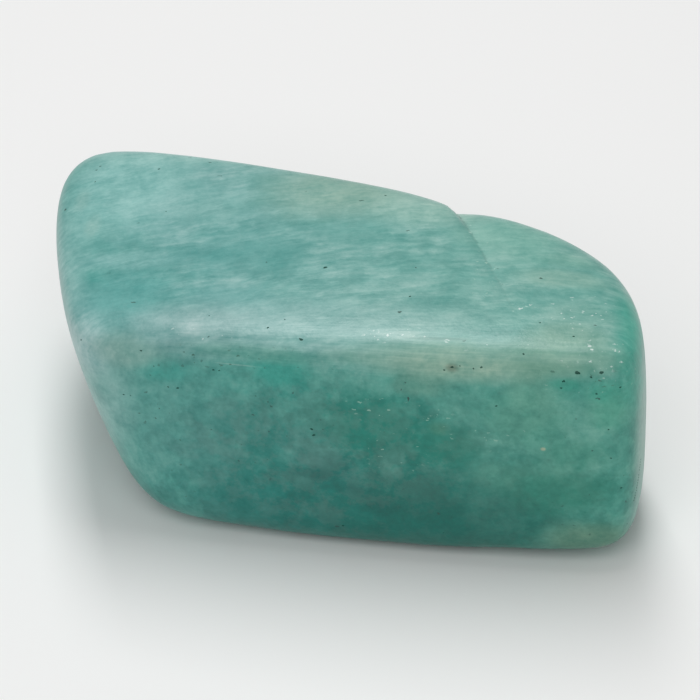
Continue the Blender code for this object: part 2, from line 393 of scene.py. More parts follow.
# The streaks' colours from the deep ones to the pale ones, on the stone's top and lower
# down on its sides, and the places of the three on the way from deep to pale
TOP_COLOURS = ((0.088, 0.318, 0.288), (0.155, 0.390, 0.356), (0.262, 0.480, 0.446))
SIDE_COLOURS = ((0.030, 0.262, 0.218), (0.070, 0.326, 0.274), (0.124, 0.378, 0.322))
COLOUR_PLACES = (0.12, 0.5, 0.9)

# Heights in millimetres between which the sides' colours give way to the top's
TOP_STARTS_AT = 12.2
TOP_COMPLETE_AT = 14.0

# Sizes of the clouds and the mottles of colour, in millimetres
CLOUD_SIZE = 3.6
MOTTLE_SIZE = 1.3

# The sheets of feldspar: their slant in plan is a slope at the stone's middle and a
# change of the slope per millimetre to the right. They waver with the clouds and shiver
# with the mottles, by so many millimetres.
SHEET_SLOPE = 0.17
SHEET_BEND = -0.012
SHEET_WAVER = 1.2
SHEET_SHIVER = 0.35

# Thickness and length of three kinds of sheets, in millimetres
FIBRES = (0.17, 1.0)
FINE_SHEETS = (0.36, 1.4)
BROAD_SHEETS = (1.1, 4.2)

# A stain has faded out at the first share of its reach and is full within the second,
# and so is a spot for its radius. The smallest spots have this share of that radius.
STAIN_EDGE = (1.25, 0.35)
SPOT_EDGE = (1.15, 0.7)
SMALLEST_SPOT = 0.35

# The painted shade in the pits' hollows: its colour, how much of it covers them, and how much
# duller they are
PIT_SHADE_COLOUR = (0.006, 0.075, 0.052)
PIT_COVER = 0.8
PIT_DULLNESS = 0.6

# Small spots are pulled out of round by a fine grain: grains in a millimetre, and the
# distance of the pull in millimetres
SCATTER_GRAIN = 5.0
SCATTER = 0.25

# Fine grain of the colour: its size in millimetres, and how strong it and the mottles
# are on the sides and on the top. Paler grains are greyer and deep ones greener, so the
# shade changes red most.
GRAIN_SIZE = 0.28
GRAIN_ON_SIDE = 0.44
GRAIN_ON_TOP = 0.26
MOTTLES_ON_SIDE = 0.15
MOTTLES_ON_TOP = 0.10
SHADE_TINT = (1.9, 1.0, 1.0)

# How strong the sheets and the scratches are in the shade
SHEETS_IN_SHADE = 0.07
SCRATCHES_IN_SHADE = 0.5

# Crisp blotches, greyer and greener in turn: their size in millimetres, the part of them
# that is greener, how much red, green and blue they add, where they are strong, and how
# strong they are elsewhere
BLOTCH_SIZE = 1.5
GREENER_PART = 0.6
BLOTCH_COLOUR = (0.038, 0.011, 0.014)
BLOTCHY = Area((-0.5, -10.0, 6.5), (8.5, 4.0, 6.5))
BLOTCHES_ELSEWHERE = 0.25

# Towards its left end the stone is a little bluer, and towards its right a little
# greener. The tints are full this far from its middle, in millimetres.
LEFT_TINT = (1.00, 1.00, 1.035)
RIGHT_TINT = (0.96, 0.99, 0.930)
TINTS_FULL_AT = 14.0

# Fine scratches along the worn ridge: where they lie, and how many there are to a
# millimetre along X, Y and Z
RIDGE = Area((1.0, -8.7, 13.6), (17.0, 2.0, 1.8))
SCRATCHES_PER_MM = (0.4, 7.0, 7.0)

# The healed crack's painted line wavers with the mottles and shivers with the grain. It
# has faded out at the first distance and is full within the second, in millimetres.
HEALED_CRACK_COLOUR = (0.110, 0.270, 0.230)
CRACK_WAVER = 0.2
CRACK_SHIVER = 0.3
CRACK_EDGE = (0.10, 0.03)

# Shares of the crack's way at which the line and the painted shade and light beside it fade
CRACK_FADE = (1.25, 0.85)
BESIDE_CRACK_FADE = (1.1, 0.6)

# Painted shade makes the colour deeper just left of the crack's step, and painted light makes it
# paler just right of it, within this reach. It changes from one to the other within CRACK_CHANGE,
# also in millimetres.
PAINTED_SHADE_LEFT_OF_CRACK = -0.13
PAINTED_LIGHT_RIGHT_OF_CRACK = 0.10
BESIDE_CRACK_REACH = 1.0
CRACK_CHANGE = 0.08

# The polish: how uneven it is, how dull the worn ridge makes it, and the size and the
# depth of its faint grain in millimetres
POLISH_UNEVENNESS = 0.05
RIDGE_WEAR = 0.8
POLISH_GRAIN = 0.22
POLISH_GRAIN_DEPTH = 0.02


def to_camera():
    """Unit vector towards the photograph's camera."""
    level = math.cos(VIEW_ELEVATION)
    return Vector((math.sin(VIEW_AZIMUTH) * level, -math.cos(VIEW_AZIMUTH) * level,
                   math.sin(VIEW_ELEVATION)))


class StoneSettings(PropertyGroup):
    """Sizes and finish of the stone."""

    skin_levels: IntProperty(
        name="Skin levels", description="How many times the solid's faces are divided",
        default=2, min=1, max=3)
    ripple_height: FloatProperty(
        name="Ripple height", description="Height of the faint ripple of the polish",
        default=0.03 * MM, min=0.0, precision=6, unit="LENGTH")
    ripple_length: FloatProperty(
        name="Ripple length", description="Distance between the ripples",
        default=2.6 * MM, min=0.1 * MM, precision=5, unit="LENGTH")
    pit_density: FloatProperty(
        name="Pit density", description="Small random pits on a square metre",
        default=22000.0, min=0.0)
    seed: IntProperty(
        name="Seed", description="Picks another spread of the small random pits",
        default=7, min=0)
    roughness: FloatProperty(
        name="Roughness", description="How dull the tumbled polish is",
        default=0.34, min=0.0, max=1.0, subtype="FACTOR")
    worn_roughness: FloatProperty(
        name="Worn roughness", description="How dull the worn band below the ridge is",
        default=0.50, min=0.0, max=1.0, subtype="FACTOR")


class StageSettings(PropertyGroup):
    """The floor, the lights and the surroundings."""

    floor_colour: FloatVectorProperty(
        name="Floor colour", description="Colour of the plain floor",
        default=(0.93, 0.93, 0.925), min=0.0, max=1.0, size=3, subtype="COLOR")
    floor_reach: FloatProperty(
        name="Floor reach", description="Radius of the round floor",
        default=1.5, min=0.1, unit="LENGTH")
    softbox_power: FloatProperty(
        name="Softbox power", description="Power of the light above the stone",
        default=0.50, min=0.0, unit="POWER")
    front_power: FloatProperty(
        name="Front light power", description="Power of the light in front of the stone",
        default=0.28, min=0.0, unit="POWER")
    surroundings: FloatProperty(
        name="Surroundings", description="Brightness of the plain pale surroundings",
        default=0.30, min=0.0)


class Nodes:
    """Adds nodes to one tree."""

    def __init__(self, tree):
        self.tree = tree

    def add(self, kind, inputs=None, **settings):
        """A new node. Each input is a plain value or another node's output."""
        node = self.tree.nodes.new(kind)
        for name, value in settings.items():
            setattr(node, name, value)
        for key, value in (inputs or {}).items():
            self.feed(node.inputs[key], value)
        return node

    def out(self, kind, inputs=None, **settings):
        """The first output of a new node."""
        return self.add(kind, inputs, **settings).outputs[0]

    def feed(self, socket, value):
        """Link an output to the socket, or set the socket's own value."""
        if isinstance(value, bpy.types.NodeSocket):
            self.tree.links.new(value, socket)
        else:
            socket.default_value = value

    def math(self, operation, first, second=0.0, third=0.0, clamp=False):
        """The result of one sum on two or three numbers."""
        return self.out("ShaderNodeMath", {0: first, 1: second, 2: third},
                        operation=operation, use_clamp=clamp)

    def times(self, *factors):
        """The product of some numbers."""
        product = factors[0]
        for factor in factors[1:]:
            product = self.math("MULTIPLY", product, factor)
        return product

    def centred(self, noise):
        """Noise between -0.5 and 0.5, from noise between 0 and 1."""
        return self.math("SUBTRACT", noise, 0.5)

    def vector(self, operation, first, second=(0.0, 0.0, 0.0), third=(0.0, 0.0, 0.0)):
        """The resulting vector of one sum on two or three vectors."""
        return self.out("ShaderNodeVectorMath", {0: first, 1: second, 2: third},
                        operation=operation)

    def scaled(self, vector, factor):
        """The vector, this many times as long."""
        return self.out("ShaderNodeVectorMath", {0: vector, "Scale": factor},
                        operation="SCALE")

    def dot(self, first, second):
        """The dot product of two vectors."""
        return self.add("ShaderNodeVectorMath", {0: first, 1: second},
                        operation="DOT_PRODUCT").outputs["Value"]

    def part(self, vector, axis):
        """The vector's X, Y or Z."""
        return self.add("ShaderNodeSeparateXYZ", {0: vector}).outputs[axis]

    def rise(self, value, start, end, low=0.0, high=1.0):
        """A smooth rise from low to high while the value goes from start to end."""
        return self.out("ShaderNodeMapRange", {
            "Value": value, "From Min": start, "From Max": end, "To Min": low,
            "To Max": high}, interpolation_type="SMOOTHSTEP")

    def bell(self, value, width):
        """1 where the value is 0, and less and less to both sides of it."""
        share = self.math("ABSOLUTE", self.math("DIVIDE", value, width))
        return self.math("EXPONENT", self.times(self.math("POWER", share, 2.0), -1.0))

    def noise(self, place, size, detail=3.0, roughness=0.55):
        """Noise with features of about this size."""
        return self.out("ShaderNodeTexNoise", {
            "Vector": place, "Scale": 1.0 / size, "Detail": detail,
            "Roughness": roughness})

    def blend(self, share, first, second):
        """A colour between two colours."""
        node = self.add("ShaderNodeMix", {0: share}, data_type="RGBA")
        for index, colour in ((6, first), (7, second)):
            if isinstance(colour, tuple):
                colour = (*colour, 1.0)
            self.feed(node.inputs[index], colour)
        return node.outputs[2]


def new_object(name, data):
    """A new object at the origin that holds this mesh, light or camera."""
    item = bpy.data.objects.new(name, data)
    bpy.context.scene.collection.objects.link(item)
    return item


def new_group(name, kind, inputs, outputs):
    """An empty node group with its nodes, its inputs and its output node."""
    tree = bpy.data.node_groups.new(name, kind)
    for in_out, sockets in (("INPUT", inputs), ("OUTPUT", outputs)):
        for label, socket in sockets.items():
            tree.interface.new_socket(name=label, in_out=in_out,
                                      socket_type="NodeSocket" + socket)
    nodes = Nodes(tree)
    given = nodes.add("NodeGroupInput").outputs
    result = nodes.add("NodeGroupOutput").inputs
    return nodes, given, result


def sheet_group():
    """Thin sheets of feldspar, upright and slanted across the stone."""
    nodes, given, result = new_group(
        "feldspar sheets", "ShaderNodeTree",
        {"Place": "Vector", "Waver": "Float", "Thickness": "Float", "Length": "Float"},
        {"Sheets": "Float"})
    x, y, z = nodes.add("ShaderNodeSeparateXYZ", {0: given["Place"]}).outputs
    bend = nodes.times(x, SHEET_BEND / 2.0)
    slant = nodes.times(nodes.math("ADD", bend, SHEET_SLOPE), x)
    across = nodes.math("ADD", nodes.math("SUBTRACT", y, slant), given["Waver"])
    stretched = nodes.out("ShaderNodeCombineXYZ", {
        "X": nodes.math("DIVIDE", x, given["Length"]),
        "Y": nodes.math("DIVIDE", across, given["Thickness"]),
        "Z": nodes.math("DIVIDE", z, given["Length"])})
    streaks = nodes.noise(stretched, 1.0, 3.0, 0.6)
    nodes.feed(result["Sheets"], nodes.rise(streaks, 0.27, 0.73))
    return nodes.tree


def stain_group():
    """A soft patch with a ragged edge: 1 in its middle and 0 outside it."""
    nodes, given, result = new_group(
        "soft stain", "ShaderNodeTree",
        {"Place": "Vector", "Middle": "Vector", "Reach": "Vector", "Ragged": "Float",
         "Rags": "Float"},
        {"Stain": "Float"})
    offset = nodes.vector("SUBTRACT", given["Place"], given["Middle"])
    far = nodes.add("ShaderNodeVectorMath", {
        0: nodes.vector("DIVIDE", offset, given["Reach"])}, operation="LENGTH").outputs["Value"]
    edge = nodes.math("MULTIPLY_ADD", given["Rags"], given["Ragged"], far)
    nodes.feed(result["Stain"], nodes.rise(edge, *STAIN_EDGE))
    return nodes.tree


def spot_group():
    """Scattered small spots: 1 on a spot and 0 elsewhere."""
    nodes, given, result = new_group(
        "small spots", "ShaderNodeTree",
        {"Place": "Vector", "Spacing": "Float", "Radius": "Float", "Share": "Float"},
        {"Spots": "Float"})
    cells = nodes.add("ShaderNodeTexVoronoi", {
        "Vector": nodes.vector("DIVIDE", given["Place"], given["Spacing"]), "Scale": 1.0})
    place_in_cell = nodes.times(cells.outputs["Distance"], given["Spacing"])
    chance = nodes.add("ShaderNodeSeparateColor", {0: cells.outputs["Color"]}).outputs
    radius = nodes.times(given["Radius"], nodes.rise(chance[1], 0.0, 1.0, SMALLEST_SPOT, 1.0))
    inside = nodes.rise(nodes.math("DIVIDE", place_in_cell, radius), *SPOT_EDGE)
    kept = nodes.math("LESS_THAN", chance[0], given["Share"])
    nodes.feed(result["Spots"], nodes.times(inside, kept))
    return nodes.tree


def colour_steps(nodes, value, colours):
    """A colour ramp from the deep colour to the pale one."""
    node = nodes.add("ShaderNodeValToRGB", {0: value})
    steps = node.color_ramp.elements
    steps.new(0.5)
    for step, place, colour in zip(steps, COLOUR_PLACES, colours):
        step.position = place
        step.color = (*colour, 1.0)
    return node.outputs["Color"]


class StoneColours:
    """Lays the stone's colours over one another."""

    def __init__(self, nodes):
        self.nodes = nodes
        self.sheets = sheet_group()
        self.stain = stain_group()
        self.spot = spot_group()
        coordinates = nodes.add("ShaderNodeTexCoord").outputs["Object"]
        self.place = nodes.out("ShaderNodeMapping", {
            "Vector": coordinates, "Scale": (PER_MM, PER_MM, PER_MM)})
        self.height = nodes.part(self.place, "Z")
        self.clouds = nodes.noise(self.place, CLOUD_SIZE, 5.0, 0.6)
        self.mottles = nodes.noise(self.place, MOTTLE_SIZE, 4.0)
        self.grain = nodes.centred(nodes.noise(self.place, GRAIN_SIZE, 3.0, 0.62))
        shift = nodes.add("ShaderNodeTexNoise", {
            "Vector": self.place, "Scale": SCATTER_GRAIN, "Detail": 1.0}).outputs["Color"]
        self.scatter = nodes.scaled(shift, SCATTER)
        self.waver = self.sum((self.clouds, SHEET_WAVER), (self.mottles, SHEET_SHIVER))
        self.fibres, self.fine, self.broad = [
            self.sheets_of(*sizes) for sizes in (FIBRES, FINE_SHEETS, BROAD_SHEETS)]
        rags = self.sum((self.clouds, 0.5), (self.mottles, 0.35), (self.fine, 0.15))
        self.rags = nodes.centred(rags)
        scratches = nodes.vector("MULTIPLY", self.place, SCRATCHES_PER_MM)
        scratches = nodes.noise(scratches, 1.0, 2.0)
        self.scratches = nodes.times(nodes.centred(scratches), self.within(RIDGE))
        across, self.along_crack = crack_measures(nodes, self.place, 1.0)
        waver = self.sum((nodes.centred(self.mottles), CRACK_WAVER),
                         (self.grain, CRACK_SHIVER))
        self.across_crack = nodes.math("ADD", across, waver)
        self.above_crack_foot = nodes.rise(self.height, CRACK_LOWEST, CRACK_TOP)
        pit = nodes.add("ShaderNodeAttribute", attribute_name="pit").outputs["Fac"]
        self.pit = nodes.times(pit, PIT_COVER)

    def group(self, tree, inputs):
        """One use of a node group: its only output."""
        return self.nodes.out("ShaderNodeGroup", {"Place": self.place, **inputs},
                              node_tree=tree)

    def sheets_of(self, thickness, length):
        """Sheets of this thickness and length: 0 on deep ones and 1 on pale ones."""
        return self.group(self.sheets, {"Waver": self.waver, "Thickness": thickness,
                                        "Length": length})

    def within(self, area, ragged=0.0):
        """1 in the middle of an area or a stain and 0 outside it."""
        return self.group(self.stain, {"Middle": area.middle, "Reach": area.reach,
                                       "Ragged": ragged, "Rags": self.rags})

    def sum(self, *parts):
        """The sum of some values, each times its weight."""
        total = 0.0
        for value, weight in parts:
            total = self.nodes.math("MULTIPLY_ADD", value, weight, total)
        return total

    def from_side_to_top(self, height, low=0.0, high=1.0):
        """The first value on the stone's sides and the second on its top."""
        return self.nodes.rise(height, TOP_STARTS_AT, TOP_COMPLETE_AT, low, high)

    def streaks(self):
        """The blue-green body with its streaks and mottles."""
        nodes = self.nodes
        banks = nodes.rise(self.clouds, 0.32, 0.68)
        mottles = nodes.rise(self.mottles, 0.3, 0.7)
        on_top = self.sum((self.fine, 0.23), (self.fibres, 0.09), (self.broad, 0.33),
                          (banks, 0.20), (mottles, 0.18))
        on_side = self.sum((mottles, 0.20), (banks, 0.50), (self.fine, 0.15),
                           (self.fibres, 0.15))
        wander = nodes.times(nodes.centred(self.clouds), 3.0)
        upper = self.from_side_to_top(nodes.math("ADD", self.height, wander))
        return nodes.blend(upper, colour_steps(nodes, on_side, SIDE_COLOURS),
                           colour_steps(nodes, on_top, TOP_COLOURS))

    def stained(self):
        """The streaks with the stains laid over them."""
        nodes = self.nodes
        colour = self.streaks()
        cover = nodes.math("ADD", self.sum((self.fine, 0.20), (self.mottles, 0.40)), 0.62)
        for stain in STAINS.values():
            share = nodes.times(self.within(stain, stain.ragged), stain.strength)
            share = nodes.math("MULTIPLY", share, cover, clamp=True)
            colour = nodes.blend(share, colour, stain.colour)
        return colour

    def shade(self):
        """How many times paler the colour is on the grain, mottles, sheets and scratches, and
        with the painted shade and light beside the crack.
        """
        nodes = self.nodes
        grain = nodes.times(self.grain, self.from_side_to_top(
            self.height, GRAIN_ON_SIDE, GRAIN_ON_TOP))
        mottles = nodes.times(
            nodes.centred(nodes.rise(self.mottles, 0.36, 0.64)),
            self.from_side_to_top(self.height, MOTTLES_ON_SIDE, MOTTLES_ON_TOP))
        shade = self.sum(
            (self.fibres, SHEETS_IN_SHADE), (self.fine, SHEETS_IN_SHADE),
            (self.scratches, SCRATCHES_IN_SHADE), (grain, 1.0), (mottles, 1.0),
            (self.painted_shading_beside_crack(), 1.0))
        # Both kinds of sheets together are 1 on average
        shade = nodes.math("SUBTRACT", shade, SHEETS_IN_SHADE)
        return nodes.vector("MULTIPLY_ADD", shade, SHADE_TINT, (1.0, 1.0, 1.0))

    def blotches(self):
        """Ragged blotches, above 0 where they are greyer and below 0 where greener."""
        nodes = self.nodes
        blotches = nodes.rise(nodes.noise(self.place, BLOTCH_SIZE, 5.0, 0.70), 0.42, 0.58)
        strength = nodes.rise(self.within(BLOTCHY), 0.0, 1.0, BLOTCHES_ELSEWHERE, 1.0)
        return nodes.times(nodes.math("SUBTRACT", blotches, GREENER_PART), strength)

    def crack(self):
        """The healed crack, seen on the top."""
        nodes = self.nodes
        return nodes.times(
            nodes.rise(nodes.math("ABSOLUTE", self.across_crack), *CRACK_EDGE),
            nodes.rise(self.along_crack, *CRACK_FADE), self.above_crack_foot,
            nodes.rise(self.mottles, 0.35, 0.6, 0.05, 0.4))

    def painted_shading_beside_crack(self):
        """Painted shade and light beside the crack's step: below 0 on its left and above 0 on its
        right.
        """
        nodes = self.nodes
        away = nodes.math("ABSOLUTE", self.across_crack)
        return nodes.times(
            nodes.rise(away, BESIDE_CRACK_REACH, 0.0),
            nodes.rise(self.along_crack, *BESIDE_CRACK_FADE),
            nodes.rise(self.across_crack, -CRACK_CHANGE, CRACK_CHANGE, PAINTED_SHADE_LEFT_OF_CRACK,
                       PAINTED_LIGHT_RIGHT_OF_CRACK),
            self.above_crack_foot)

    def flecked(self, fleck):
        """Where the spots of one kind lie."""
        nodes = self.nodes
        held = 0.0
        for area in fleck.areas:
            held = nodes.math("MAXIMUM", held, self.within(area))
        place = nodes.vector("MULTIPLY", nodes.vector("ADD", self.place, self.scatter),
                             fleck.shape)
        spots = self.group(self.spot, {"Place": place, "Spacing": fleck.spacing,
                                       "Radius": fleck.radius, "Share": fleck.share})
        return nodes.times(held, spots)

    def colour(self):
        """The colour of the whole stone."""
        nodes = self.nodes
        place = nodes.rise(nodes.part(self.place, "X"), -TINTS_FULL_AT, TINTS_FULL_AT)
        tint = nodes.blend(place, LEFT_TINT, RIGHT_TINT)
        colour = nodes.vector("MULTIPLY", self.stained(), tint)
        colour = nodes.vector("MULTIPLY", colour, self.shade())
        colour = nodes.vector("MULTIPLY_ADD", self.blotches(), BLOTCH_COLOUR, colour)
        colour = nodes.vector("MAXIMUM", colour)
        colour = nodes.blend(self.crack(), colour, HEALED_CRACK_COLOUR)
        for fleck in FLECKS.values():
            share = nodes.times(self.flecked(fleck), fleck.strength)
            colour = nodes.blend(share, colour, fleck.colour)
        # Painted shade in the pits' hollows
        return nodes.blend(self.pit, colour, PIT_SHADE_COLOUR)

    def worn(self):
        """Where the ridge is worn dull."""
        wear = STAINS["beige wear below the ridge"]
        return self.nodes.times(self.within(wear, wear.ragged), RIDGE_WEAR)


def crack_side():
    """Unit vector to the right of the crack, level with the ground."""
    way = Vector(CRACK_END) - Vector(CRACK_START)
    return (-way.y / way.length, way.x / way.length, 0.0)


def crack_measures(nodes, place, unit):
    """Distance to the right of the crack's line, and the share of its way that is done.

    The unit is the length of one millimetre in the tree's own numbers.
    """
    start = Vector(CRACK_START) * unit
    way = Vector(CRACK_END) * unit - start
    offset = nodes.vector("SUBTRACT", place, tuple(start))
    along = nodes.math("DIVIDE", nodes.dot(offset, tuple(way)), way.length_squared)
    return nodes.dot(offset, crack_side()), along


def amazonite_material(settings):
    """Polished blue-green feldspar."""
    material = bpy.data.materials.new("polished amazonite")
    material.use_nodes = True
    nodes = Nodes(material.node_tree)
    shader = material.node_tree.nodes["Principled BSDF"]
    shader.inputs["IOR"].default_value = 1.53
    shader.inputs["Specular IOR Level"].default_value = 0.42
    colours = StoneColours(nodes)
    nodes.feed(shader.inputs["Base Color"], colours.colour())
    uneven = nodes.rise(colours.mottles, 0.2, 0.8, -POLISH_UNEVENNESS, POLISH_UNEVENNESS)
    polish = nodes.out("ShaderNodeMapRange", {
        "Value": colours.worn(), "To Min": settings.roughness,
        "To Max": settings.worn_roughness})
    dull = nodes.math("MULTIPLY_ADD", colours.pit, PIT_DULLNESS, uneven)
    nodes.feed(shader.inputs["Roughness"], nodes.math("ADD", polish, dull, clamp=True))
    grain = nodes.math("ADD", colours.scratches,
                       nodes.noise(colours.place, POLISH_GRAIN, 2.0))
    bump = nodes.add("ShaderNodeBump", {
        "Height": grain, "Distance": POLISH_GRAIN_DEPTH * MM, "Strength": 0.5})
    nodes.feed(shader.inputs["Normal"], bump.outputs["Normal"])
    return material


def solid_in_quads():
    """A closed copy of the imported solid, with its triangles paired back into quads."""
    solid = bmesh.new()
    solid.from_mesh(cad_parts[STONE_NODE].data)
    bmesh.ops.remove_doubles(solid, verts=solid.verts, dist=0.001 * MM)
    bmesh.ops.join_triangles(solid, faces=solid.faces, angle_face_threshold=QUAD_ANGLE,
                             angle_shape_threshold=math.pi)
    mesh = bpy.data.meshes.new("skin")
    solid.to_mesh(mesh)
    solid.free()
    return mesh


def pit_places():
    """An object that holds one loose point at each pit, with half the pit's width."""
    pits = list(PITS.values())
    for index in range(SCRATCH_PITS):
        place = SCRATCH_TOP.lerp(SCRATCH_FOOT, index / (SCRATCH_PITS - 1))
        pits.append(Pit(tuple(place), SCRATCH_HALF_WIDTH))
    mesh = bpy.data.meshes.new("pit places")
    mesh.from_pydata([Vector(pit.place) * MM for pit in pits], [], [])
    widths = mesh.attributes.new("half width", "FLOAT", "POINT")
    for entry, pit in zip(widths.data, pits):
        entry.value = pit.half_width * MM
    return new_object("pit places", mesh)


def moved(nodes, geometry, direction, distance):
    """The geometry, moved along a direction by a distance."""
    return nodes.out("GeometryNodeSetPosition", {
        "Geometry": geometry, "Offset": nodes.scaled(direction, distance)})


def stepped_at_crack(nodes, skin):
    """The skin with the crack's step, steep on its left, and the swelling beside it."""
    place = nodes.out("GeometryNodeInputPosition")
    across, along = crack_measures(nodes, place, MM)
    here = nodes.times(
        nodes.rise(along, STEP_END, 0.0),
        nodes.rise(nodes.part(place, "Z"), CRACK_LOWEST * MM, CRACK_TOP * MM))
    nearness = nodes.bell(across, STEP_PULL_WIDTH * MM)
    skin = moved(nodes, skin, crack_side(), nodes.times(across, nearness, -1.0, here))
    right = nodes.math("GREATER_THAN", across, -0.02 * MM)
    width = nodes.rise(right, 0.0, 1.0, STEP_LEFT_WIDTH * MM, STEP_RIGHT_WIDTH * MM)
    share = nodes.math("DIVIDE", nodes.math("ABSOLUTE", across), width)
    profile = nodes.math("EXPONENT", nodes.times(share, -1.0))
    depth = nodes.times(profile, here, -STEP_DEPTH * MM)
    swelling = nodes.times(
        nodes.bell(nodes.math("SUBTRACT", across, SWELLING_PLACE * MM), SWELLING_WIDTH * MM),
        here, nodes.rise(along, SWELLING_END, 0.0))
    height = nodes.math("MULTIPLY_ADD", swelling, SWELLING_HEIGHT * MM, depth)
    return moved(nodes, skin, nodes.out("GeometryNodeInputNormal"), height)


def rippled(nodes, skin, given):
    """The skin with its faint ripple. The flat spot stays level."""
    place = nodes.out("GeometryNodeInputPosition")
    waves = nodes.out("ShaderNodeTexNoise", {
        "Vector": place, "Scale": nodes.math("DIVIDE", 1.0, given["Ripple length"]),
        "Detail": 1.0})
    height = nodes.times(
        nodes.centred(waves), given["Ripple height"],
        nodes.rise(nodes.part(place, "Z"), RIPPLE_LOWEST * MM, 3.0 * RIPPLE_LOWEST * MM))
    return moved(nodes, skin, nodes.out("GeometryNodeInputNormal"), height)


def with_attribute(nodes, geometry, name, value, domain):
    """The geometry, with a named number stored on it."""
    return nodes.out("GeometryNodeStoreNamedAttribute", {
        "Geometry": geometry, "Name": name, "Value": value}, data_type="FLOAT", domain=domain)


def random_number(nodes, low, high, given):
    """A random number for each point, between low and high."""
    return nodes.add("FunctionNodeRandomValue", {2: low, 3: high, "Seed": given["Seed"]},
                     data_type="FLOAT").outputs[1]


def random_pits(nodes, skin, given):
    """Points for the small random pits, away from the flat spot."""
    level = nodes.part(nodes.out("GeometryNodeInputPosition"), "Z")
    points = nodes.out("GeometryNodeDistributePointsOnFaces", {
        "Mesh": skin, "Selection": nodes.math("GREATER_THAN", level, MM),
        "Distance Min": PIT_SPACING * MM, "Density Max": given["Pit density"],
        "Seed": given["Seed"]}, distribute_method="POISSON")
    size = random_number(nodes, SMALLEST_PIT * MM, LARGEST_RANDOM_PIT * MM, given)
    return with_attribute(nodes, points, "half width", size, "POINT")


def pit_cutters(nodes, skin, given):
    """Uneven little balls, half sunk in the skin, one for each pit."""
    place = nodes.out("GeometryNodeInputPosition")
    named = nodes.add("GeometryNodeObjectInfo", {"Object": given["Pit places"]}).outputs
    points = nodes.add("GeometryNodeJoinGeometry")
    nodes.feed(points.inputs[0], named["Geometry"])
    nodes.feed(points.inputs[0], random_pits(nodes, skin, given))
    on_skin = nodes.add("GeometryNodeProximity", {0: skin}, target_element="FACES")
    placed = nodes.out("GeometryNodeSetPosition", {
        "Geometry": points.outputs[0], "Position": on_skin.outputs["Position"]})
    normal = nodes.add("GeometryNodeSampleNearestSurface", {
        "Mesh": skin, "Value": nodes.out("GeometryNodeInputNormal"),
        "Sample Position": place}, data_type="FLOAT_VECTOR").outputs["Value"]
    turn = nodes.out("ShaderNodeCombineXYZ", {
        "Z": random_number(nodes, -PIT_TURN, PIT_TURN, given)})
    turn = nodes.out("FunctionNodeEulerToRotation", {0: turn})
    facing = nodes.out("FunctionNodeAlignRotationToVector", {
        "Rotation": turn, "Vector": normal})
    half_width = nodes.out("GeometryNodeInputNamedAttribute", {"Name": "half width"},
                           data_type="FLOAT")
    ball = nodes.out("GeometryNodeMeshIcoSphere", {"Radius": 1.0, "Subdivisions": 3})
    balls = nodes.out("GeometryNodeInstanceOnPoints", {
        "Points": placed, "Instance": ball, "Rotation": facing,
        "Scale": nodes.scaled(PIT_STRETCH, half_width)})
    balls = nodes.out("GeometryNodeRealizeInstances", {0: balls})
    grain = nodes.add("ShaderNodeTexNoise", {
        "Vector": place, "Scale": 1.0 / (PIT_WALL_GRAIN * MM), "Detail": 1.0}).outputs["Color"]
    grain = nodes.vector("SUBTRACT", grain, (0.5, 0.5, 0.5))
    balls = moved(nodes, balls, grain, nodes.times(half_width, PIT_UNEVENNESS))
    return with_attribute(nodes, balls, "pit", 1.0, "FACE")


def skin_tree():
    """Geometry nodes that turn the solid into the polished, pitted skin."""
    nodes, given, result = new_group(
        "polished skin", "GeometryNodeTree",
        {"Geometry": "Geometry", "Skin levels": "Int", "Ripple height": "Float",
         "Ripple length": "Float", "Pit density": "Float", "Seed": "Int",
         "Pit places": "Object", "Skin material": "Material"},
        {"Geometry": "Geometry"})
    skin = nodes.out("GeometryNodeSubdivisionSurface", {
        "Mesh": given["Geometry"], "Level": given["Skin levels"]})
    skin = stepped_at_crack(nodes, rippled(nodes, skin, given))
    skin = nodes.out("GeometryNodeSetShadeSmooth", {"Geometry": skin})
    skin, cutters = [nodes.out("GeometryNodeSetMaterial", {
        "Geometry": geometry, "Material": given["Skin material"]})
        for geometry in (skin, pit_cutters(nodes, skin, given))]
    cut = nodes.add("GeometryNodeMeshBoolean", {
        "Mesh 1": skin, "Mesh 2": cutters, "Self Intersection": True},
        operation="DIFFERENCE", solver="EXACT")
    skin = nodes.out("GeometryNodeSetShadeSmooth", {
        "Geometry": cut.outputs["Mesh"], "Selection": cut.outputs["Intersecting Edges"],
        "Shade Smooth": False}, domain="EDGE")
    skin = nodes.out("GeometryNodeMergeByDistance", {
        "Geometry": skin, "Distance": SLIVER * MM})
    skin = nodes.out("GeometryNodeRealizeInstances", {0: skin})
    skin = nodes.out("GeometryNodeSetMaterial", {
        "Geometry": skin, "Material": given["Skin material"]})
    nodes.feed(result["Geometry"], skin)
    return nodes.tree


def apply_tree(piece, tree, values):
    """Give the piece the plain mesh that the tree makes of it."""
    modifier = piece.modifiers.new(tree.name, "NODES")
    modifier.node_group = tree
    for item in tree.interface.items_tree:
        if item.in_out == "INPUT" and item.name in values:
            modifier[item.identifier] = values[item.name]
    depsgraph = bpy.context.evaluated_depsgraph_get()
    mesh = bpy.data.meshes.new_from_object(piece.evaluated_get(depsgraph))
    piece.modifiers.clear()
    piece.data = mesh


